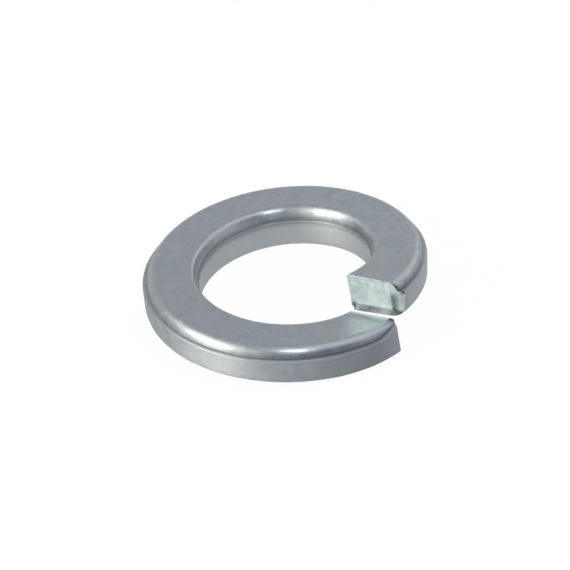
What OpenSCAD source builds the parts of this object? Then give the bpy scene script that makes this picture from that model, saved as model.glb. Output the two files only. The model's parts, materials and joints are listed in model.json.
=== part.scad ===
// Spring lock washer for an M12 bolt: one turn of flat-rolled wire, coiled left-handed and cut on a slant.
// The origin is on the bolt's axis, at the height of the lowest point, and the axis is +Z.

/* [Coil] */
// Inside diameter, clear for the bolt
bore_d = 12.7; // [12.2:0.1:13]
// Width of the wire, from the bore to the widest part of the outer wall
wire_w = 4.15; // [3.95:0.05:4.35]
// Thickness of the wire at the middle of its width
wire_t = 2.95; // [2.8:0.05:3]
// Height that the coil gains in one full turn
pitch = 3.05; // [3:0.05:3.4]

/* [Section] */
// How much thicker the wire is at the bore than at the outside
keystone = 0.2; // [0:0.05:0.3]
// Width of the shoulder between the flat top and the outer crease
outer_shoulder_w = 0.58; // [0.4:0.02:0.8]
// Height of the outer shoulder
outer_shoulder_h = 0.85; // [0.7:0.01:1.1]
// How far the outer shoulder has dropped where its curve turns down
outer_edge_drop = 0.08; // [0.02:0.01:0.15]
// How far inside the wall's full radius the outer crease lies
outer_step = 0.3; // [0.1:0.02:0.45]
// Width of the shoulder between the flat top and the inner crease
inner_shoulder_w = 0.52; // [0.3:0.02:0.7]
// Height of the inner shoulder
inner_shoulder_h = 1; // [0.8:0.05:1.3]
// How far the inner shoulder has dropped where its curve turns down
inner_edge_drop = 0.04; // [0.02:0.01:0.15]
// How far outside the bore the inner crease lies
inner_step = 0.08; // [0.06:0.02:0.2]
// Height under a crease over which its ledge rounds over into the wall
ledge_round = 0.2; // [0.1:0.05:0.4]
// How far the outer wall leans in from there to the bottom
wall_draft = 0.07; // [0:0.01:0.15]
// Radius of the bottom outer corner
bottom_round = 0.45; // [0.2:0.05:0.6]
// Bevel of the bottom inner corner
bottom_bevel = 0.05; // [0.03:0.01:0.2]
// Share of the outer shoulder's height that is gone at the lower end, where its crease rises
crease_rise = 0.8; // [0:0.1:0.9]

/* [Gap] */
// Direction of the gap, in degrees from +X toward +Y
gap_dir = -42; // [-60:1:-20]
// Width of the gap at the middle of the wire, seen along the axis
gap_w = 0.12; // [0.1:0.02:0.8]
// Turn of the lower end's face away from the radius, as sideways run for each unit of width
lower_skew = 0.39; // [0.2:0.01:0.4]
// Turn of the upper end's face away from the radius
upper_skew = 0.34; // [0.2:0.01:0.4]

/* [End faces] */
// How far back the upper end's inner side is rolled, at the bottom
upper_inner_back = 0.9; // [0.1:0.05:1]
// How far back the upper end's outer side is rolled
upper_outer_back = 0.4; // [0.1:0.05:0.6]
// How far back the lower end's outer side is rolled, at the top
lower_outer_back = 0.6; // [0.1:0.05:0.6]
// Width of the rolled edge on the upper end's inner side
roll_inner_w = 0.5; // [0.2:0.05:0.6]
// Width of the rolled edge on the outer side of both ends
roll_outer_w = 0.8; // [0.4:0.05:1.2]
// Height of the band under the upper end's flat
roll_bottom_w = 0.5; // [0.3:0.05:0.8]
// How far the upper end's flat is sunk at its lower edge
flat_sink = 0.2; // [0:0.05:0.3]
// Width of the rolled edge elsewhere
roll_fine_w = 0.1; // [0.08:0.01:0.2]

/* [Hidden] */

// Angle between two cross-sections along the coil
step_angle = 4;
// Cross-sections over which a slanted end face eases into the radial ones
ease_steps = 6;
// Cross-sections over which the outer crease rises to the lower end, and over which it rises a little
// before that, by a share of the whole rise
rise_steps = 3;
early_steps = 20;
early_rise = 0.12;
// Cross-sections over which the upper end's rolled sides come forward again, and the share of the inner
// side's roll that is gone at the top
roll_steps = 3;
inner_back_loss = 0.5;
bore_r = bore_d / 2;
outer_r = bore_r + wire_w;
mid_r = (bore_r + outer_r) / 2;
// Share of a shoulder's width before its curve turns down, and of its height that the turn keeps
shoulder_reach = 0.55;
shoulder_rise = 0.6;
// Sideways run of a shoulder's lower part
shoulder_lean = 0.1;
// Room that the swept wire leaves for the bore to be cut out of it
bore_stock = 0.4;
stock_r = bore_r - bore_stock;
gap_angle = gap_w / mid_r * 180 / PI;
turn_angle = 360 - gap_angle;
lower_dir = gap_dir - gap_angle / 2;
steps = ceil(turn_angle / step_angle);
zinc = [0.62, 0.65, 0.67];

// Points of a curve that leaves start toward corner and comes from corner to end, both ends included
function curve(start, corner, end, count) = [
    for (i = [0:count])
        let (k = i / count)
        (1 - k) * (1 - k) * start + 2 * k * (1 - k) * corner + k * k * end
];

// Points of a shoulder, from the flat top's edge to the crease under it, both ends included. way is 1
// where the shoulder faces out and -1 where it faces the bore, and lean is its lower part's sideways run.
function shoulder(crease, width, edge_drop, lean, way, count) =
    let (
        edge = [crease.x - way * width, wire_t],
        high = [edge.x + way * width * shoulder_reach, wire_t - edge_drop],
        low = [crease.x - way * lean, crease.y + (wire_t - crease.y) * shoulder_rise]
    )
    [
        for (i = [0:count])
            let (k = i / count, left = 1 - k)
            left * left * left * edge + 3 * left * left * k * high + 3 * left * k * k * low + k * k * k * crease
    ];

function tail(list) = [for (i = [1:len(list) - 1]) list[i]];
function reversed(list) = [for (i = [len(list) - 1:-1:0]) list[i]];

// Keystone form: the wire is thicker toward the bore, by the same amount at its top and its bottom
function keystoned(p) = [
    p.x,
    p.y + keystone * (mid_r - p.x) / wire_w * (p.y / wire_t - 0.5)
];

// Cross-section of the wire, as [distance from the axis, height above the bottom face], going round
// counter-clockwise from the bottom outer corner. It runs past the bore's wall, which is cut out later.
// rise goes from 0 to 1 as the outer crease rises.
function wire_section(rise) =
    let (
        left = 1 - crease_rise * rise,
        outer_crease = [outer_r - outer_step, wire_t - outer_shoulder_h * left],
        inner_crease = [bore_r + inner_step, wire_t - inner_shoulder_h],
        low_r = outer_r - wall_draft,
        past_bore = inner_crease.x - stock_r
    )
    [
        for (p = concat(
            [for (a = [-90:30:0]) [low_r - bottom_round * (1 - cos(a)), bottom_round * (1 + sin(a))]],
            reversed(tail(curve(
                outer_crease, [outer_r, outer_crease.y], [outer_r, outer_crease.y - ledge_round], 4
            ))),
            reversed(shoulder(
                outer_crease, outer_shoulder_w, outer_edge_drop * left, shoulder_lean * left, 1, 7
            )),
            shoulder(inner_crease, inner_shoulder_w, inner_edge_drop, shoulder_lean, -1, 7),
            [[stock_r, inner_crease.y - past_bore]],
            [[stock_r, bottom_bevel + bore_stock], [bore_r + bottom_bevel, 0]]
        ))
            keystoned(p)
    ];

// Where a section's outline goes, in the flat left inside the rolled edges of an end face
function in_flat(p, left_w, right_w, low_w) =
    let (
        left = bore_r + left_w,
        right = outer_r - right_w,
        high = wire_t - roll_fine_w
    )
    [
        left + (right - left) * (p.x - stock_r) / (outer_r - stock_r),
        low_w + (high - low_w) * p.y / wire_t
    ];

// Share of a rolled edge at a point that is a given way into it
function rolled(way, width) =
    let (k = min(1, max(0, way / width)))
    k * k * (3 - 2 * k);

// Direction of a section point on an end face, from the face's middle. The face stands upright and is
// turned away from the radius.
function face_angle(r, skew) =
    let (turn = atan(skew))
    turn + asin(-skew * mid_r * cos(turn) / r);

// Place of a section point at a direction round the axis. The coil rises clockwise, seen from above.
function coil_point(p, direction) = [
    p.x * cos(direction),
    p.x * sin(direction),
    p.y + pitch * (lower_dir - direction) / 360
];

// One cross-section of the coil at a number of steps along it. Each point is [radius, height, way back
// from the nearer end face].
function coil_ring(points, along) =
    let (
        direction = lower_dir - turn_angle * along / steps,
        lower_share = max(0, 1 - along / ease_steps),
        upper_share = max(0, 1 - (steps - along) / ease_steps),
        away = along > steps / 2 ? 1 : -1
    )
    [
        for (p = points)
            coil_point(
                p,
                direction
                    + lower_share * face_angle(p.x, lower_skew)
                    + upper_share * face_angle(p.x, upper_skew)
                    + away * p.z / mid_r * 180 / PI
            )
    ];

// The full section at the lower end, with its outer side rolled back toward the top
function lower_rim() = [
    for (p = wire_section(1))
        [p.x, p.y, lower_outer_back * rolled(p.x - (outer_r - roll_outer_w), roll_outer_w) * p.y / wire_t]
];

// How far back a section point is rolled at the upper end
function upper_back(p) =
    upper_inner_back * (1 - inner_back_loss * p.y / wire_t) * rolled(bore_r + roll_inner_w - p.x, roll_inner_w)
        + upper_outer_back * rolled(p.x - (outer_r - roll_outer_w), roll_outer_w);

// The full section at the upper end, with both sides rolled back
function upper_rim() = [for (p = wire_section(0)) [p.x, p.y, upper_back(p)]];

// The section at a number of steps along the coil, between its two ends
function plain_section(along) =
    let (
        near = max(0, 1 - along / rise_steps),
        early = early_rise * max(0, 1 - along / early_steps),
        share = max(0, 1 - (steps - along) / roll_steps)
    )
    [for (p = wire_section(early + (1 - early) * near)) [p.x, p.y, share * share * upper_back(p)]];

function lower_flat() = [
    for (p = wire_section(1))
        let (q = in_flat(p, roll_fine_w, roll_outer_w, roll_fine_w))
        [q.x, q.y, 0]
];

function upper_flat() = [
    for (p = wire_section(0))
        let (q = in_flat(p, roll_inner_w, roll_outer_w, roll_bottom_w))
        [q.x, q.y, flat_sink * (wire_t - q.y) / (wire_t - roll_bottom_w)]
];

// The whole wire as one closed shell, with a flat end face inside a rolled edge at both ends. Its lowest
// point is at height 0.
module coiled_wire() {
    count = len(wire_section(0));
    middle = [(stock_r + outer_r) / 2, wire_t / 2, 0];
    rings = concat(
        [coil_ring(lower_flat(), 0)],
        [coil_ring(lower_rim(), 0)],
        [for (i = [1:steps - 1]) coil_ring(plain_section(i), i)],
        [coil_ring(upper_rim(), steps)],
        [coil_ring(upper_flat(), steps)]
    );
    last = len(rings) - 1;
    ring_points = [for (ring = rings) each ring];
    points = concat(ring_points, coil_ring([middle], 0), coil_ring([middle + [0, 0, flat_sink / 2]], steps));
    lowest = min([for (p = ring_points) if (norm([p.x, p.y]) >= bore_r) p.z]);
    lower_middle = len(ring_points);
    upper_middle = lower_middle + 1;
    sides = [
        for (k = [0:last - 1])
            for (j = [0:count - 1])
                let (a = k * count + j, b = k * count + (j + 1) % count, c = a + count, d = b + count)
                each [[a, c, d], [a, d, b]]
    ];
    lower_face = [for (j = [0:count - 1]) [j, (j + 1) % count, lower_middle]];
    upper_face = [
        for (j = [0:count - 1])
            [last * count + (j + 1) % count, last * count + j, upper_middle]
    ];
    translate([0, 0, -lowest])
        polyhedron(points, concat(sides, lower_face, upper_face), convexity = 6);
}

// The washer: the coiled wire with its bore cut true
module lock_washer() {
    color(zinc)
        difference() {
            coiled_wire();
            translate([0, 0, -1])
                cylinder(r = bore_r, h = pitch + wire_t + 2, $fn = 180);
        }
}

lock_washer();
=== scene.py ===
# Spring lock washer, zinc plated: the coiled wire, its sheared end faces, the light and the camera.
# Lengths in the washer's own frame are in millimetres and become metres when a mesh is written.
import json
from collections import namedtuple
from math import asin, atan, comb, cos, degrees, hypot, radians, sin

import bpy
from mathutils import Matrix, Vector, noise

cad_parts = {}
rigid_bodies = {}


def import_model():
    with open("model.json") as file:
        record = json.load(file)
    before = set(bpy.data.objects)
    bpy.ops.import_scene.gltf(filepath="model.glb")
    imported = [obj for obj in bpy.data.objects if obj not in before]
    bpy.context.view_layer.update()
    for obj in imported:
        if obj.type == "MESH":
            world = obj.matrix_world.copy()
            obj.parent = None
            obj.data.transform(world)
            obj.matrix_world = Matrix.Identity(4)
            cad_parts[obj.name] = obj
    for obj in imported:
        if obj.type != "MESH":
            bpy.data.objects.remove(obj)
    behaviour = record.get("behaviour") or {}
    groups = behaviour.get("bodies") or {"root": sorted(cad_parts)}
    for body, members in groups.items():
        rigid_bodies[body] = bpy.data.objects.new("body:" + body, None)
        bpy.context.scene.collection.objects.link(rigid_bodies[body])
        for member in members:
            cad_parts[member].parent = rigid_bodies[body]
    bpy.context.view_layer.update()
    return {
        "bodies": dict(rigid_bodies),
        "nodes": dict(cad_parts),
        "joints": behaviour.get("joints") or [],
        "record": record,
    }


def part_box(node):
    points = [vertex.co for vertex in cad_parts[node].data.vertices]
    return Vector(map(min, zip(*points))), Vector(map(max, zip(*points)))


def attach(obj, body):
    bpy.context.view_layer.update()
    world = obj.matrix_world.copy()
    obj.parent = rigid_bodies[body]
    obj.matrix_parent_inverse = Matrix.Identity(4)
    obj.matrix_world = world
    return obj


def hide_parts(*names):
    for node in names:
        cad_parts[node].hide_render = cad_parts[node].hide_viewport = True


MM = 0.001
NODE = "lock_washer"

# The wire's section and its rise in a turn, which the frame's box doesn't give
WIRE_THICKNESS = 2.95
PITCH = 3.05
KEYSTONE = 0.2
WALL_DRAFT = 0.07
BOTTOM_ROUND = 0.45
BOTTOM_BEVEL = 0.05

# The top corners: each shoulder's width and height, and the step under its crease out to the wall
OUTER_SHOULDER = (0.58, 0.85)
OUTER_EDGE_DROP = 0.08
OUTER_STEP = 0.3
INNER_SHOULDER = (0.52, 1.0)
INNER_EDGE_DROP = 0.04
INNER_STEP = 0.08
SHOULDER_REACH = 0.55
SHOULDER_RISE = 0.6
SHOULDER_LEAN = 0.1
LEDGE_ROUND = 0.2

# How far the outer shoulder's lower edge rises toward the lower end, and over what angle
CREASE_RISE = 0.8
CREASE_RISE_ANGLE = 11.0
EARLY_RISE = 0.12
EARLY_RISE_ANGLE = 80.0

# How much smaller the inner shoulder becomes toward the upper end, and over what angle
SQUARING = 0.5
SQUARING_ANGLE = 26.0

# The angle over which the lower end's top is painted paler and matt, and how far down from the top
TIP_ANGLE = 5.0
TIP_DEPTH = 0.2

# The gap, and how each end face turns away from the radius
GAP_DIRECTION = -42.0
GAP_WIDTH = 0.12
LOWER_SKEW = 0.39
UPPER_SKEW = 0.34
EASE_ANGLE = 24.0
ROLL_EASE_ANGLE = 10.0

# An end face: inner and outer are the flat's margins at its bottom and its top, and low and high are those
# below and above it. The rolls are how far the sides went back at the bottom and the top, and sink is how
# far the flat lies back at its bottom. burr is the burr's size, and darkness scales its painted shade and
# darker streaks.
EndShape = namedtuple("EndShape", "inner outer low high inner_roll outer_roll sink burr seed dullness")
LOWER_END = EndShape(
    inner=(0.12, 0.5),
    outer=(0.4, 0.7),
    low=0.12,
    high=0.06,
    inner_roll=(0.1, 0.1),
    outer_roll=(0.1, 0.6),
    sink=0.0,
    burr=0.02,
    seed=2.0,
    dullness=0.25,
)
UPPER_END = EndShape(
    inner=(0.65, 0.22),
    outer=(0.82, 0.88),
    low=0.5,
    high=0.02,
    inner_roll=(1.0, 0.45),
    outer_roll=(0.35, 0.5),
    sink=0.2,
    burr=0.13,
    seed=5.0,
    dullness=1.0,
)

# The rings between the outline and the flat: the share of the way in, and how much roll is left there
ROLLED_RINGS = ((0.02, 0.96), (0.12, 0.72), (0.3, 0.45), (0.55, 0.2), (0.8, 0.05))

# The rings of the flat: the share of the way from its middle to its edge
FLAT_RINGS = (0.965, 0.92, 0.82, 0.68, 0.5, 0.3, 0.15)

# The burr: how near the flat's top it stands, how often and how much its size changes, how far it leans
# up, and how much of it is left on the flat's first ring
BURR_ROOT = 0.1
BURR_TEETH = 2.9
BURR_FRACTAL = (0.6, 2.3, 4)
BURR_MEAN = 0.6
BURR_SPREAD = 1.1
BURR_LEAST = 0.1
BURR_LEAN = 0.3
BURR_FOOT = 0.5

# The size at which the burr is fully bright, on the edge and on the flat, and where the flat's own fades
BURR_BRIGHT = 0.045
FOOT_BRIGHT = 0.06
FOOT_FADE = (0.76, 0.16)

# The torn relief of the flat: its depth, and its changes to a millimetre across and down
TORN_DEPTH = 0.012
TORN_ACROSS = 3.1
TORN_DOWN = 0.9
TORN_SEED = 3.7
TORN_FRACTAL = (0.8, 2.1, 4)

# Painted shade in a band under an end face's flat, and a darker streak and rim. A fade is where it starts
# and how wide it is, and one of width under 0 runs backward.
BAND_FADE = -0.3
BAND_AT_BORE = 0.9
BAND_BORE_FADE = (0.3, 0.5)
STREAK_LEAST = 0.2
STREAK_MORE = 0.55
STREAK_SIDE_FADE = (-0.4, 0.2)
STREAK_HEIGHT_FADE = (2.3, -0.8)
STREAK_INSET_FADE = (0.35, 0.3)
RIM_SIDE_FADE = 0.1
RIM_HEIGHT_FADE = (1.7, 0.3)
RIM_INSET_FADE = (0.35, -0.25)
EDGE_INSET = 0.9
EDGE_DARKENING = 0.7

# The wire's unevenness: long waves, stronger at a crease, and fine ones. Scales are in waves to a mm.
WAVE = 0.012
CREASE_WAVE = 0.02
WAVE_SCALE = 0.55
FINE_WAVE = 0.004
FINE_SCALE = 2.3
WAVE_OFFSET = (4.1, 0.3, 7.7)
FINE_OFFSET = (1.7, 9.2, 3.1)
NOISE_SEED = 11

# How far the nearness to a crease reaches under it, over the outer one and over the inner one. It sets the
# painted shade in the creases and the stronger waves there.
CREASE_REACH_UNDER = 0.5
CREASE_REACH_OUTER = 0.75
CREASE_REACH_INNER = 0.4

# What the inner crease and the inner wall count for, where the outer ones count 1
INNER_CREASE_SHARE = 0.7
INNER_WALL = 0.6

# How finely the coil and its section are divided
RING_COUNT = 420
CORNER_STEPS = 8
BEVEL_STEPS = 3
SHOULDER_STEPS = 18
LEDGE_STEPS = 8
OUTER_WALL_STEPS = 7
INNER_WALL_STEPS = 6
TOP_STEPS = 22
BOTTOM_STEPS = 14
SHARP_ANGLE = 38

# The order of the washer's materials: top and bottom, end faces, walls and shoulders
FLATS, SHEARED, DRAWN = range(3)

# The zinc's clouds, mottling, pits and grain, and the cut ends' tears and blotches, in changes to a metre
CLOUD_SCALE = 260
MOTTLE_SCALE = 1500
PIT_SCALE = 2600
GRAIN_SCALE = 5200
TEAR_SCALE = 2600
BLOTCH_SCALE = 900
TEAR_STRETCH = (1.0, 1.0, 0.3)

# The depth of their relief, in metres
MOTTLE_RELIEF = 0.00006
PIT_RELIEF = 0.00004
GRAIN_RELIEF = 0.00003
TEAR_RELIEF = 0.00006

# Roughness: of the flats and the drawn sides, and what mottling, pits, the paler tip and a wall add to it
FLAT_ROUGHNESS = 0.38
DRAWN_ROUGHNESS = 0.3
MOTTLE_ROUGHER = 0.1
PIT_ROUGHER = 0.15
TIP_ROUGHER = 0.35
WALL_ROUGHER = 0.24

# The sheen along the drawn wire: its strength and its turn
SHEEN = 0.5
SHEEN_TURN = 0.25

# The camera: its direction, tilt and distance, the photo's pixels to a millimetre, and where it aims
VIEW_AZIMUTH = -90.0
VIEW_ELEVATION = 32.5
VIEW_ROLL = -3.7
VIEW_DISTANCE = 766.0
VIEW_SCALE = 13.62
VIEW_AIM = (-0.07, -0.10, 2.48)
PHOTO_WIDTH = 570
SENSOR_WIDTH = 36.0

# The floor, in metres: half its side, and how far it lies under the washer
FLOOR_HALF = 3.0
FLOOR_GAP = 0.00002

# The floor's own colour, and how much of it is white instead to the camera and in a mirror image
FLOOR_COLOUR = (0.35, 0.355, 0.35, 1)
FLOOR_WHITE_SEEN = 0.95
FLOOR_WHITE_MIRRORED = 0.5
FLOOR_WHITE_STRENGTH = 1.03
WHITE = (1, 1, 1, 1)

# The lamps, in metres and watts: direction round the washer, distance, two sides, power and colour
LAMPS = (
    ("warm lamp", -152, 9, 0.5, (0.3, 0.14), 1.0, (1.0, 0.97, 0.86)),
    ("cool lamp", -82, 37, 0.5, (0.06, 0.08), 0.55, (0.84, 0.91, 1.0)),
)

# The room's colour at the horizon and high up, and how high that is as the sine of its elevation
ROOM_LOW = (0.8, 0.82, 0.8, 1)
ROOM_HIGH = (0.66, 0.69, 0.73, 1)
ROOM_HIGH_AT = 0.7

# Patches of the room that differ from it: azimuth, elevation, how far from there the effect is full and
# where it ends, its share, and the colour
PATCHES = (
    (95, 62, 8, 30, 0.35, (0.3, 0.32, 0.35, 1)),
    (-65, 2, 18, 50, 1.0, (0.08, 0.09, 0.12, 1)),
    (-25, 47, 10, 42, 0.9, (1.15, 1.19, 1.3, 1)),
    (-154, 5, 8, 54, 1.0, (1.95, 1.93, 1.74, 1)),
    (32, 16, 8, 36, 0.9, (1.2, 1.16, 1.14, 1)),
)


def lerp(a, b, t):
    return a + (b - a) * t


def smooth(t):
    t = min(max(t, 0.0), 1.0)
    return t * t * (3 - 2 * t)


def fade(value, start, width):
    """How far a value has come from start along width, eased at both ends."""
    return smooth((value - start) / width)


# The wire's section

SectionPoint = namedtuple("SectionPoint", "r z crease wall")


class Wire:
    """The coil's sizes, in millimetres, from the frame's box and its bore."""

    def __init__(self, frame):
        low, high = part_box(NODE)
        bore = next(m for m in frame["record"]["mounts"] if m["kind"] == "bore")
        self.bore_r = bore["dims"]["r_mm"]
        self.outer_r = max(high[0], high[1], -low[0], -low[1]) / MM
        self.mid_r = (self.bore_r + self.outer_r) / 2
        self.gap_angle = degrees(GAP_WIDTH / self.mid_r)
        self.turn_angle = 360 - self.gap_angle
        self.lower_dir = GAP_DIRECTION - self.gap_angle / 2
        self.floor_z = low[2] / MM

    def keystoned(self, r, z):
        """A section point's place once the wire is thicker toward the bore."""
        taper = (self.mid_r - r) / (self.outer_r - self.bore_r)
        return r, z + KEYSTONE * taper * (z / WIRE_THICKNESS - 0.5)


def arc(centre, radius, start, end, count):
    """Points of an arc, both ends included. Angles are in degrees from +r toward +z."""
    turn = [radians(lerp(start, end, i / count)) for i in range(count + 1)]
    return [(centre[0] + radius * cos(a), centre[1] + radius * sin(a)) for a in turn]


def straight(a, b, count):
    """Points from a to b, with both ends left out."""
    return [(lerp(a[0], b[0], i / count), lerp(a[1], b[1], i / count)) for i in range(1, count)]


def curve(controls, count):
    """Points of the curve that three or four controls bend, both ends included."""
    points = []
    degree = len(controls) - 1
    for i in range(count + 1):
        k = i / count
        weights = [comb(degree, n) * k**n * (1 - k) ** (degree - n) for n in range(degree + 1)]
        points.append(tuple(sum(w * p[axis] for w, p in zip(weights, controls)) for axis in (0, 1)))
    return points


def shoulder(crease, width, edge_drop, lean, outward):
    """The top corner of the wire, from the flat top's edge to the crease under it."""
    height = WIRE_THICKNESS - crease[1]
    start = (crease[0] - outward * width, WIRE_THICKNESS)
    first = (start[0] + outward * width * SHOULDER_REACH, WIRE_THICKNESS - edge_drop)
    second = (crease[0] - outward * lean, crease[1] + height * SHOULDER_RISE)
    return curve((start, first, second, crease), SHOULDER_STEPS)


def ledge(crease, wall_r):
    """The step under a crease, out to the wall and down to where it turns upright."""
    return curve((crease, (wall_r, crease[1]), (wall_r, crease[1] - LEDGE_ROUND)), LEDGE_STEPS)[1:]


def section_point(wire, r, z, crease, outside):
    """A point of the outline, with how near the crease it is and how much it belongs to a wall."""
    under = z < crease[1] + 1e-6
    reach = CREASE_REACH_OUTER if outside else CREASE_REACH_INNER
    if under:
        reach = CREASE_REACH_UNDER
    nearness = max(0.0, 1 - hypot(r - crease[0], z - crease[1]) / reach)
    if not outside:
        nearness *= INNER_CREASE_SHARE
    wall = 1.0 if outside else INNER_WALL
    return SectionPoint(*wire.keystoned(r, z), nearness, wall if under else 0.0)


def wire_section(wire, raised=0.0, squared=0.0):
    """The section's outline, counter-clockwise from the bottom outer corner.

    raised goes from 0 to 1 as the outer crease rises, and squared as the inner shoulder becomes smaller.
    """
    outer_left = 1 - CREASE_RISE * raised
    inner_left = 1 - SQUARING * squared
    outer_width, outer_height = OUTER_SHOULDER
    inner_width, inner_height = INNER_SHOULDER
    outer_crease = (wire.outer_r - OUTER_STEP, WIRE_THICKNESS - outer_height * outer_left)
    inner_crease = (wire.bore_r + INNER_STEP, WIRE_THICKNESS - inner_height * inner_left)
    outer_drop = OUTER_EDGE_DROP * outer_left
    outer_shoulder = shoulder(outer_crease, outer_width, outer_drop, SHOULDER_LEAN * outer_left, 1)
    inner_lean = SHOULDER_LEAN * inner_left
    inner_shoulder = shoulder(inner_crease, inner_width * inner_left, INNER_EDGE_DROP, inner_lean, -1)
    outer_ledge = ledge(outer_crease, wire.outer_r)
    inner_ledge = ledge(inner_crease, wire.bore_r)
    low_r = wire.outer_r - WALL_DRAFT
    corner = arc((low_r - BOTTOM_ROUND, BOTTOM_ROUND), BOTTOM_ROUND, -90, 0, CORNER_STEPS)
    bevel = arc((wire.bore_r + BOTTOM_BEVEL, BOTTOM_BEVEL), BOTTOM_BEVEL, 180, 270, BEVEL_STEPS)
    outline = [
        *corner,
        *straight(corner[-1], outer_ledge[-1], OUTER_WALL_STEPS),
        *outer_ledge[::-1],
        *outer_shoulder[::-1],
        *straight(outer_shoulder[0], inner_shoulder[0], TOP_STEPS),
        *inner_shoulder,
        *inner_ledge,
        *straight(inner_ledge[-1], bevel[0], INNER_WALL_STEPS),
        *bevel,
        *straight(bevel[-1], corner[0], BOTTOM_STEPS),
    ]
    section = []
    for r, z in outline:
        outside = r > wire.mid_r
        section.append(section_point(wire, r, z, outer_crease if outside else inner_crease, outside))
    return section


def is_flat(a, b):
    """Whether a step of the section's outline belongs to the rolled top or bottom."""
    margin = 0.12
    slope = 0.06
    level = abs(a.z - b.z) < slope * abs(a.r - b.r)
    return level and (min(a.z, b.z) > WIRE_THICKNESS - margin or max(a.z, b.z) < margin)


# The coil


def face_angle(wire, r, skew):
    """Direction of a section point on an end face, from the face's middle."""
    turn = atan(skew)
    return degrees(turn + asin(-skew * wire.mid_r * cos(turn) / r))


def coil_place(wire, r, z, along, set_back=0.0):
    """Place of a section point at a share of the coil's length.

    set_back moves the point away from the nearer end face.
    """
    turned = wire.turn_angle * along
    lower_share = max(0.0, 1 - turned / EASE_ANGLE)
    upper_share = max(0.0, 1 - (wire.turn_angle - turned) / EASE_ANGLE)
    direction = wire.lower_dir - turned
    direction += lower_share * face_angle(wire, r, LOWER_SKEW)
    direction += upper_share * face_angle(wire, r, UPPER_SKEW)
    direction += degrees(set_back / wire.mid_r) * (1 if along > 0.5 else -1)
    height = z + PITCH * (wire.lower_dir - direction) / 360
    a = radians(direction)
    return Vector((r * cos(a), r * sin(a), height))


def worn(place, crease):
    """A place on the wire, moved by the small unevenness of rolled, hardened and plated steel."""
    wave = noise.noise_vector(place * WAVE_SCALE + Vector(WAVE_OFFSET))
    fine = noise.noise_vector(place * FINE_SCALE + Vector(FINE_OFFSET))
    return place + wave * (WAVE + CREASE_WAVE * crease) + fine * FINE_WAVE


# The end faces

FacePoint = namedtuple("FacePoint", "r z set_back dull bright")


def ray_to_sides(centre, point, sides):
    """Where the ray from centre toward point leaves four sides, each a pair of its ends as (r, z)."""
    dr = point[0] - centre[0]
    dz = point[1] - centre[1]
    reach = 1e9
    for a, b in sides:
        side = (b[0] - a[0], b[1] - a[1])
        across = dr * side[1] - dz * side[0]
        if abs(across) < 1e-9:
            continue
        k = ((a[0] - centre[0]) * side[1] - (a[1] - centre[1]) * side[0]) / across
        if k > 0:
            reach = min(reach, k)
    return centre[0] + dr * reach, centre[1] + dz * reach


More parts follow.
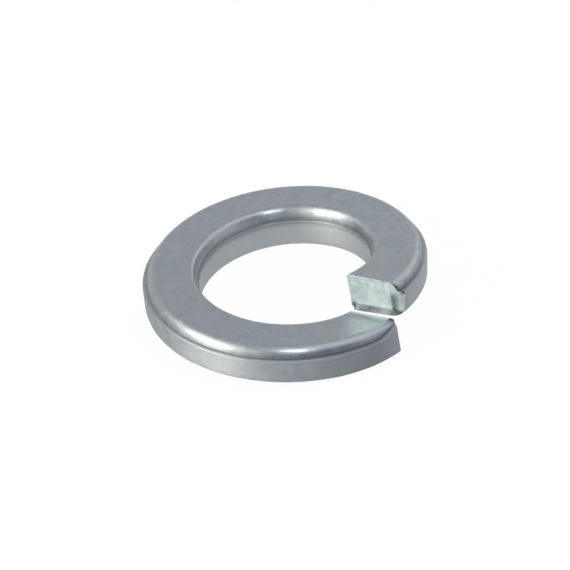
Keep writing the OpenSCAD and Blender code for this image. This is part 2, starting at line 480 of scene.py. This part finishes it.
class EndFace:
    """A sheared end face: a flat inside edges that rolled back, with a burr along its top."""

    def __init__(self, wire, section, along, shape):
        self.wire = wire
        self.section = section
        self.along = along
        self.shape = shape
        self.top = WIRE_THICKNESS - shape.high
        corners = [
            (wire.bore_r + shape.inner[0], shape.low),
            (wire.outer_r - shape.outer[0], shape.low),
            (wire.outer_r - shape.outer[1], self.top),
            (wire.bore_r + shape.inner[1], self.top),
        ]
        sides = list(zip(corners, corners[1:] + corners[:1]))
        self.centre = tuple(sum(c[axis] for c in corners) / 4 for axis in (0, 1))
        self.edge = [ray_to_sides(self.centre, p, sides) for p in section]
        self.set_back = [self.roll(p.r, p.z) for p in section]

    def roll(self, r, z):
        """How far back the full section ends at a point of its outline."""
        shape = self.shape
        up = z / WIRE_THICKNESS
        inner_width = lerp(*shape.inner, up)
        outer_width = lerp(*shape.outer, up)
        inner = smooth((self.wire.bore_r + inner_width - r) / inner_width)
        outer = smooth((r - self.wire.outer_r + outer_width) / outer_width)
        return inner * lerp(*shape.inner_roll, up) + outer * lerp(*shape.outer_roll, up)

    def sunk(self, z):
        """How far back the flat lies at a height."""
        return self.shape.sink * (self.top - z) / (self.top - self.shape.low)

    def burr(self, point):
        """How far the burr stands out at a point of the flat's edge."""
        near = max(0.0, 1 - abs(point[1] - self.top) / BURR_ROOT)
        ragged = noise.fractal(Vector((point[0] * BURR_TEETH, self.shape.seed, 0)), *BURR_FRACTAL)
        return near * self.shape.burr * max(BURR_LEAST, BURR_MEAN + BURR_SPREAD * ragged)

    def darkening_at(self, point, inset):
        """How dark a point of the section's outline is painted at a share of the way in to the flat.

        The band under the flat is painted shade, and a streak down the outer side and the top outer rim
        are darker too.
        """
        from_bore = point.r - self.wire.bore_r
        from_outer = point.r - self.wire.outer_r
        band = fade(point.z, self.shape.low, BAND_FADE)
        band *= lerp(BAND_AT_BORE, 1.0, fade(from_bore, *BAND_BORE_FADE))
        streak = STREAK_MORE * fade(point.z, *STREAK_HEIGHT_FADE) * fade(inset, *STREAK_INSET_FADE)
        streak = fade(from_outer, *STREAK_SIDE_FADE) * (STREAK_LEAST + streak)
        rim = fade(from_outer, -self.shape.outer[1], RIM_SIDE_FADE) * fade(point.z, *RIM_HEIGHT_FADE)
        rim *= fade(inset, *RIM_INSET_FADE)
        return max(band, streak, rim) * self.shape.dullness

    def rolled_ring(self, inset, roll_left):
        """A ring between the outline and the flat."""
        ring = []
        for p, e, back in zip(self.section, self.edge, self.set_back):
            set_back = back * roll_left + self.sunk(e[1]) * inset
            dull = self.darkening_at(p, inset)
            ring.append(FacePoint(lerp(p.r, e[0], inset), lerp(p.z, e[1], inset), set_back, dull, 0.0))
        return ring

    def edge_ring(self):
        """The flat's edge, with the burr along its top."""
        ring = []
        for p, e in zip(self.section, self.edge):
            burr = self.burr(e)
            dull = EDGE_DARKENING * self.darkening_at(p, EDGE_INSET)
            bright = min(1.0, burr / BURR_BRIGHT)
            ring.append(FacePoint(e[0], e[1] + BURR_LEAN * burr, self.sunk(e[1]) - burr, dull, bright))
        return ring

    def flat_ring(self, share):
        """A ring of the flat, which is torn in upright streaks and bright under the burr."""
        ring = []
        for e in self.edge:
            r = lerp(self.centre[0], e[0], share)
            z = lerp(self.centre[1], e[1], share)
            where = Vector((r * TORN_ACROSS, z * TORN_DOWN, self.shape.seed + TORN_SEED))
            torn = noise.fractal(where, *TORN_FRACTAL)
            burr = self.burr(e)
            lifted = burr * BURR_FOOT if share == FLAT_RINGS[0] else 0.0
            bright = min(1.0, burr / FOOT_BRIGHT) * fade(share, *FOOT_FADE)
            ring.append(FacePoint(r, z, self.sunk(z) + TORN_DEPTH * torn - lifted, 0.0, bright))
        return ring

    def rings(self):
        """All rings from the section's outline in toward the middle."""
        rolled = [self.rolled_ring(inset, roll_left) for inset, roll_left in ROLLED_RINGS]
        return [*rolled, self.edge_ring(), *(self.flat_ring(share) for share in FLAT_RINGS)]

    def middle(self):
        return FacePoint(*self.centre, self.sunk(self.centre[1]), 0.0, 0.0)


# The washer's mesh


class Shell:
    """The mesh as it is gathered: places, what the materials read at each of them, and faces.

    crease is how near a crease a place is, which sets the painted shade there, or how dark an end face is
    painted.
    wall is 1 on the outer wall and on an end face, and less on the inner wall. bright is 1 at the lower
    end's paler tip, or at a burr.
    """

    def __init__(self, count):
        self.count = count
        self.places = []
        self.crease = []
        self.wall = []
        self.bright = []
        self.faces = []
        self.kinds = []

    def point(self, place, crease, wall, bright):
        self.places.append(place)
        self.crease.append(crease)
        self.wall.append(wall)
        self.bright.append(bright)

    def bridge(self, a, b, kinds):
        """Faces between two rings, which start at points a and b."""
        for j in range(self.count):
            k = (j + 1) % self.count
            self.faces.append((a + j, a + k, b + k, b + j))
            self.kinds.append(kinds[j])

    def mesh(self, name, floor_z):
        """The mesh in metres, with its lowest point on the floor."""
        settle = Vector((0, 0, floor_z - min(p.z for p in self.places)))
        mesh = bpy.data.meshes.new(name)
        mesh.from_pydata([(p + settle) * MM for p in self.places], [], self.faces)
        mesh.polygons.foreach_set("material_index", self.kinds)
        mesh.polygons.foreach_set("use_smooth", [True] * len(self.faces))
        for reading in ("crease", "wall", "bright"):
            values = getattr(self, reading)
            mesh.attributes.new(reading, "FLOAT", "POINT").data.foreach_set("value", values)
        mesh.update()
        mesh.validate()
        mesh.set_sharp_from_angle(angle=radians(SHARP_ANGLE))
        return mesh


def coil_ring(shell, wire, plain, end, along):
    """One ring of the coil, between the plain section and the one at the nearer end."""
    from_lower = wire.turn_angle * along
    from_upper = wire.turn_angle * (1 - along)
    rolled = max(0.0, 1 - wire.turn_angle * min(along, 1 - along) / ROLL_EASE_ANGLE) ** 2
    early = EARLY_RISE * smooth(1 - from_lower / EARLY_RISE_ANGLE)
    share = smooth(1 - from_upper / SQUARING_ANGLE)
    if along < 0.5:
        share = lerp(early, 1.0, smooth(1 - from_lower / CREASE_RISE_ANGLE))
    tip = smooth(1 - from_lower / TIP_ANGLE)
    for p, other, back in zip(plain, end.section, end.set_back):
        r = lerp(p.r, other.r, share)
        z = lerp(p.z, other.z, share)
        place = coil_place(wire, r, z, along, back * rolled)
        bright = tip if p.z > WIRE_THICKNESS - TIP_DEPTH else 0.0
        shell.point(worn(place, p.crease), p.crease, p.wall, bright)


def close_end(shell, wire, end, start, flip):
    """An end face on the ring that starts at a point. flip turns its faces round."""
    last = start
    for ring in end.rings():
        base = len(shell.places)
        for p in ring:
            shell.point(coil_place(wire, p.r, p.z, end.along, p.set_back), p.dull, 1.0, p.bright)
        first, second = (base, last) if flip else (last, base)
        shell.bridge(first, second, [SHEARED] * shell.count)
        last = base
    centre = len(shell.places)
    p = end.middle()
    shell.point(coil_place(wire, p.r, p.z, end.along, p.set_back), p.dull, 1.0, p.bright)
    for j in range(shell.count):
        pair = (last + j, last + (j + 1) % shell.count)
        shell.faces.append((*(pair[::-1] if flip else pair), centre))
        shell.kinds.append(SHEARED)


def washer_mesh(wire):
    """The washer as one closed mesh, in three materials."""
    plain = wire_section(wire)
    lower = EndFace(wire, wire_section(wire, raised=1.0), 0.0, LOWER_END)
    upper = EndFace(wire, wire_section(wire, squared=1.0), 1.0, UPPER_END)
    count = len(plain)
    kinds = [FLATS if is_flat(plain[j], plain[(j + 1) % count]) else DRAWN for j in range(count)]
    shell = Shell(count)
    for i in range(RING_COUNT + 1):
        along = i / RING_COUNT
        coil_ring(shell, wire, plain, lower if along < 0.5 else upper, along)
    for i in range(RING_COUNT):
        shell.bridge(i * count, (i + 1) * count, kinds)
    close_end(shell, wire, lower, 0, True)
    close_end(shell, wire, upper, RING_COUNT * count, False)
    return shell.mesh("coiled_washer", wire.floor_z)


# Materials


class Nodes:
    """A short way to write the node tree of a material or a world."""

    def __init__(self, owner):
        owner.use_nodes = True
        self.tree = owner.node_tree
        self.tree.nodes.clear()

    def add(self, kind, inputs=None, **settings):
        node = self.tree.nodes.new(kind)
        for key, value in settings.items():
            setattr(node, key, value)
        for key, value in (inputs or {}).items():
            self.put(node.inputs[key], value)
        return node

    def put(self, socket, value):
        if isinstance(value, bpy.types.NodeSocket):
            self.tree.links.new(value, socket)
        else:
            socket.default_value = value

    def math(self, operation, a, b):
        return self.add("ShaderNodeMath", {0: a, 1: b}, operation=operation).outputs[0]

    def plus(self, a, b):
        return self.math("ADD", a, b)

    def times(self, a, b):
        return self.math("MULTIPLY", a, b)

    def most(self, a, b):
        return self.math("MAXIMUM", a, b)

    def spread(self, value, low, high, to_low=0.0, to_high=1.0, **settings):
        """Maps low and high to two new values, and holds what lies past them."""
        inputs = {"Value": value, "From Min": low, "From Max": high, "To Min": to_low, "To Max": to_high}
        return self.add("ShaderNodeMapRange", inputs, **settings).outputs[0]

    def blend(self, share, a, b):
        """Colour a where share is 0, and b where it is 1."""
        return self.add("ShaderNodeMix", {"Factor": share, 6: a, 7: b}, data_type="RGBA").outputs[2]

    def noise(self, where, scale, detail, roughness=0.55):
        inputs = {"Vector": where, "Scale": scale, "Detail": detail, "Roughness": roughness}
        return self.add("ShaderNodeTexNoise", inputs).outputs["Fac"]

    def bump(self, height, strength, distance, normal=None):
        node = self.add("ShaderNodeBump", {"Height": height, "Strength": strength, "Distance": distance})
        if normal is not None:
            self.put(node.inputs["Normal"], normal)
        return node.outputs[0]

    def place(self):
        return self.add("ShaderNodeTexCoord").outputs["Object"]

    def attribute(self, name):
        return self.add("ShaderNodeAttribute", attribute_name=name).outputs["Fac"]

    def metal(self, inputs):
        shader = self.add("ShaderNodeBsdfPrincipled", {**inputs, "Metallic": 1.0})
        self.add("ShaderNodeOutputMaterial", {"Surface": shader.outputs[0]})


def zinc(n, roughness):
    """Zinc's own colour, cloudy, specked and a little pitted, with its roughness and its fine relief."""
    grey = (0.355, 0.385, 0.415, 1)
    pale = (0.43, 0.46, 0.485, 1)
    cloud = (0.43, 0.445, 0.44, 1)
    speck = (0.22, 0.24, 0.27, 1)
    place = n.place()
    clouds = n.noise(place, CLOUD_SCALE, 3)
    mottle = n.noise(place, MOTTLE_SCALE, 5, 0.65)
    grain = n.noise(place, GRAIN_SCALE, 3)
    pits = n.spread(n.noise(place, PIT_SCALE, 2), 0.68, 0.8)
    tone = n.blend(n.spread(mottle, 0.35, 0.65), grey, pale)
    tone = n.blend(n.spread(clouds, 0.4, 0.62, 0.0, 0.5), tone, cloud)
    specks = n.most(n.times(pits, 0.3), n.spread(grain, 0.56, 0.72, 0.0, 0.35))
    tone = n.blend(specks, tone, speck)
    rough = n.spread(mottle, 0.3, 0.7, roughness, roughness + MOTTLE_ROUGHER)
    rough = n.plus(rough, n.times(pits, PIT_ROUGHER))
    normal = n.bump(grain, 0.12, GRAIN_RELIEF)
    normal = n.bump(mottle, 0.1, MOTTLE_RELIEF, normal)
    normal = n.bump(n.math("SUBTRACT", 1.0, pits), 0.2, PIT_RELIEF, normal)
    return tone, rough, normal


def rolled_material():
    """The rolled top and bottom: satin zinc, paler and matt at the lower end's tip."""
    tip_pale = (0.88, 0.94, 0.94, 1)
    material = bpy.data.materials.new("zinc on the flats")
    n = Nodes(material)
    tone, rough, normal = zinc(n, FLAT_ROUGHNESS)
    bright = n.attribute("bright")
    tone = n.blend(bright, tone, tip_pale)
    rough = n.plus(rough, n.times(bright, TIP_ROUGHER))
    n.metal({"Base Color": tone, "Roughness": rough, "Normal": normal})
    return material


def painted_shade_share(n, crease, wall, inside, place):
    """How much painted shade the drawn sides get: in the creases, more toward the right, and down the
    outer wall at the front right, both most at the front, and in the bore's crease.
    """
    crease_shade_x = (-0.008, 0.0015)
    wall_shade_x = (-0.001, 0.006)
    wall_shade_end_x = (0.0065, 0.0078)
    front_y = (-0.006, -0.001)
    x = place["X"]
    crease_shade = n.times(n.math("POWER", crease, 1.3), n.spread(x, *crease_shade_x, 0.2, 0.75))
    wall_shade = n.times(n.spread(wall, 0.7, 1.0), n.spread(x, *wall_shade_x, 0.0, 0.35))
    wall_shade = n.times(wall_shade, n.spread(x, *wall_shade_end_x, 1.0, 0.3))
    front = n.spread(place["Y"], *front_y, 1.0, 0.2)
    inner_crease_shade = n.times(n.times(crease, inside), 0.9)
    return n.most(n.times(n.most(crease_shade, wall_shade), front), inner_crease_shade)


def painted_light_share(n, wall, inside, place):
    """How much paler the walls are painted, as painted light: inside the bore, at the right, and at the
    front left.
    """
    right_x = (0.008, 0.0092)
    left_x = (-0.0085, -0.005)
    left_end_x = (-0.0015, -0.0045)
    x = place["X"]
    right = n.spread(x, *right_x, 0.0, 0.6)
    left = n.math("MINIMUM", n.spread(x, *left_end_x), n.spread(x, *left_x))
    where = n.most(inside, n.most(right, left))
    return n.times(where, n.spread(wall, 0.0, INNER_WALL, 0.0, 0.65))


def drawn_material():
    """The drawn walls and shoulders: satin zinc with a sheen along the wire, with painted shade in the
    creases and painted light on some walls.
    """
    painted_pale = (0.6, 0.62, 0.64, 1)
    painted_shade = (0.09, 0.1, 0.13, 1)
    bore_radius = (0.0070, 0.0074)
    material = bpy.data.materials.new("zinc on the drawn sides")
    n = Nodes(material)
    tone, rough, normal = zinc(n, DRAWN_ROUGHNESS)
    crease = n.attribute("crease")
    wall = n.attribute("wall")
    place = n.add("ShaderNodeSeparateXYZ", {0: n.place()}).outputs
    level = n.add("ShaderNodeVectorMath", {0: n.place(), 1: (1, 1, 0)}, operation="MULTIPLY").outputs[0]
    radius = n.add("ShaderNodeVectorMath", {0: level}, operation="LENGTH").outputs["Value"]
    inside = n.spread(radius, *bore_radius, 1.0, 0.0)
    # Painted light: the walls are paler inside the bore, at the right and at the front left.
    tone = n.blend(painted_light_share(n, wall, inside, place), tone, painted_pale)
    # Painted shade: darker in the creases and down the outer wall at the front right.
    tone = n.blend(painted_shade_share(n, crease, wall, inside, place), tone, painted_shade)
    rough = n.plus(rough, n.times(wall, WALL_ROUGHER))
    round_axis = n.add("ShaderNodeTangent", direction_type="RADIAL", axis="Z").outputs[0]
    inputs = {
        "Base Color": tone,
        "Roughness": rough,
        "Normal": normal,
        "Anisotropic": SHEEN,
        "Anisotropic Rotation": SHEEN_TURN,
        "Tangent": round_axis,
    }
    n.metal(inputs)
    return material


def sheared_material():
    """The cut ends: brighter zinc, torn along the cut, with painted shade in a band under the flat, darker
    streaks, and a bright burr.
    """
    torn_low = (0.74, 0.85, 0.84, 1)
    torn_high = (0.93, 1.0, 0.98, 1)
    blotched = (0.55, 0.62, 0.63, 1)
    face_dark = (0.045, 0.06, 0.075, 1)
    burr = (0.95, 0.98, 0.97, 1)
    material = bpy.data.materials.new("sheared face")
    n = Nodes(material)
    place = n.place()
    stretch = n.add("ShaderNodeMapping", {"Vector": place, "Scale": TEAR_STRETCH}).outputs[0]
    torn = n.noise(stretch, TEAR_SCALE, 5, 0.65)
    blotch = n.noise(place, BLOTCH_SCALE, 3)
    tone = n.blend(n.spread(torn, 0.35, 0.7), torn_low, torn_high)
    tone = n.blend(n.spread(blotch, 0.5, 0.72, 0.0, 0.6), tone, blotched)
    # Painted shade: the band under the flat, with the darker streak and rim.
    dull = n.times(n.attribute("crease"), n.spread(blotch, 0.3, 0.7, 0.75, 1.0))
    tone = n.blend(dull, tone, face_dark)
    tone = n.blend(n.attribute("bright"), tone, burr)
    rough = n.spread(torn, 0.3, 0.7, 0.42, 0.58)
    n.metal({"Base Color": tone, "Roughness": rough, "Normal": n.bump(torn, 0.25, TEAR_RELIEF)})
    return material


def floor_material():
    """A pale floor that the camera sees as white, though it keeps a little of the washer's shadow."""
    material = bpy.data.materials.new("pale floor")
    n = Nodes(material)
    rays = n.add("ShaderNodeLightPath").outputs
    seen = n.times(rays["Is Camera Ray"], FLOOR_WHITE_SEEN)
    mirrored = n.most(rays["Is Glossy Ray"], rays["Is Transmission Ray"])
    mirrored = n.times(mirrored, FLOOR_WHITE_MIRRORED)
    matt = n.add("ShaderNodeBsdfDiffuse", {"Color": FLOOR_COLOUR}).outputs[0]
    glow = {"Color": WHITE, "Strength": FLOOR_WHITE_STRENGTH}
    white = n.add("ShaderNodeEmission", glow).outputs[0]
    mixed = n.add("ShaderNodeMixShader", {0: n.most(seen, mirrored), 1: matt, 2: white}).outputs[0]
    n.add("ShaderNodeOutputMaterial", {"Surface": mixed})
    return material


# Floor, light and camera


def floor():
    mesh = bpy.data.meshes.new("floor")
    corners = [(x * FLOOR_HALF, y * FLOOR_HALF, 0) for x, y in ((-1, -1), (1, -1), (1, 1), (-1, 1))]
    mesh.from_pydata(corners, [], [(0, 1, 2, 3)])
    mesh.materials.append(floor_material())
    plane = bpy.data.objects.new("floor", mesh)
    plane.location.z = -FLOOR_GAP
    bpy.context.collection.objects.link(plane)


def toward(azimuth, elevation):
    """The direction from the washer, as a vector of length 1."""
    a = radians(azimuth)
    e = radians(elevation)
    return Vector((cos(a) * cos(e), sin(a) * cos(e), sin(e)))


def lamp(name, azimuth, elevation, distance, sides, power, colour):
    """A soft rectangular lamp that faces the washer."""
    data = bpy.data.lights.new(name, "AREA")
    data.shape = "RECTANGLE"
    data.size, data.size_y = sides
    data.energy = power
    data.color = colour
    lit = bpy.data.objects.new(name, data)
    lit.location = toward(azimuth, elevation) * distance
    lit.rotation_euler = (-lit.location).to_track_quat("-Z", "Y").to_euler()
    bpy.context.collection.objects.link(lit)


def surroundings():
    """An even pale room with its darker and lighter patches, which the camera itself sees as white."""
    world = bpy.data.worlds.new("pale room")
    bpy.context.scene.world = world
    n = Nodes(world)
    way = n.add("ShaderNodeTexCoord").outputs["Generated"]
    height = n.add("ShaderNodeSeparateXYZ", {0: way}).outputs["Z"]
    ramp = n.add("ShaderNodeValToRGB", {0: height})
    low, high = ramp.color_ramp.elements
    low.position = 0.0
    low.color = ROOM_LOW
    high.position = ROOM_HIGH_AT
    high.color = ROOM_HIGH
    shade = ramp.outputs[0]
    for azimuth, elevation, near, far, share, colour in PATCHES:
        inputs = {0: way, 1: toward(azimuth, elevation)}
        facing = n.add("ShaderNodeVectorMath", inputs, operation="DOT_PRODUCT").outputs["Value"]
        far_cos = cos(radians(far))
        near_cos = cos(radians(near))
        reach = n.spread(facing, far_cos, near_cos, 0.0, share, interpolation_type="SMOOTHSTEP")
        shade = n.blend(reach, shade, colour)
    room = n.add("ShaderNodeBackground", {"Color": shade}).outputs[0]
    white = n.add("ShaderNodeBackground", {"Color": WHITE}).outputs[0]
    seen = n.add("ShaderNodeLightPath").outputs["Is Camera Ray"]
    either = n.add("ShaderNodeMixShader", {0: seen, 1: room, 2: white}).outputs[0]
    n.add("ShaderNodeOutputWorld", {"Surface": either})


def light():
    surroundings()
    for settings in LAMPS:
        lamp(*settings)


def camera():
    """Looks down on the washer from the front, with the photograph's tilt."""
    data = bpy.data.cameras.new("camera")
    data.sensor_width = SENSOR_WIDTH
    data.lens = data.sensor_width * VIEW_SCALE * VIEW_DISTANCE / PHOTO_WIDTH
    data.clip_start = 0.01
    view = bpy.data.objects.new("camera", data)
    away = toward(VIEW_AZIMUTH, VIEW_ELEVATION)
    turn = away.to_track_quat("Z", "Y").to_matrix()
    turn = turn @ Matrix.Rotation(radians(VIEW_ROLL), 3, "Z")
    aim = Vector(VIEW_AIM) * MM
    view.matrix_world = Matrix.Translation(aim + away * VIEW_DISTANCE * MM) @ turn.to_4x4()
    bpy.context.collection.objects.link(view)
    bpy.context.scene.camera = view


# The scene

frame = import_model()
bpy.context.scene.view_settings.view_transform = "Standard"
camera()
noise.seed_set(NOISE_SEED)
washer = bpy.data.objects.new("coiled_washer", washer_mesh(Wire(frame)))
for make in (rolled_material, sheared_material, drawn_material):
    washer.data.materials.append(make())
bpy.context.collection.objects.link(washer)
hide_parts(NODE)
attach(washer, "root")
floor()
light()
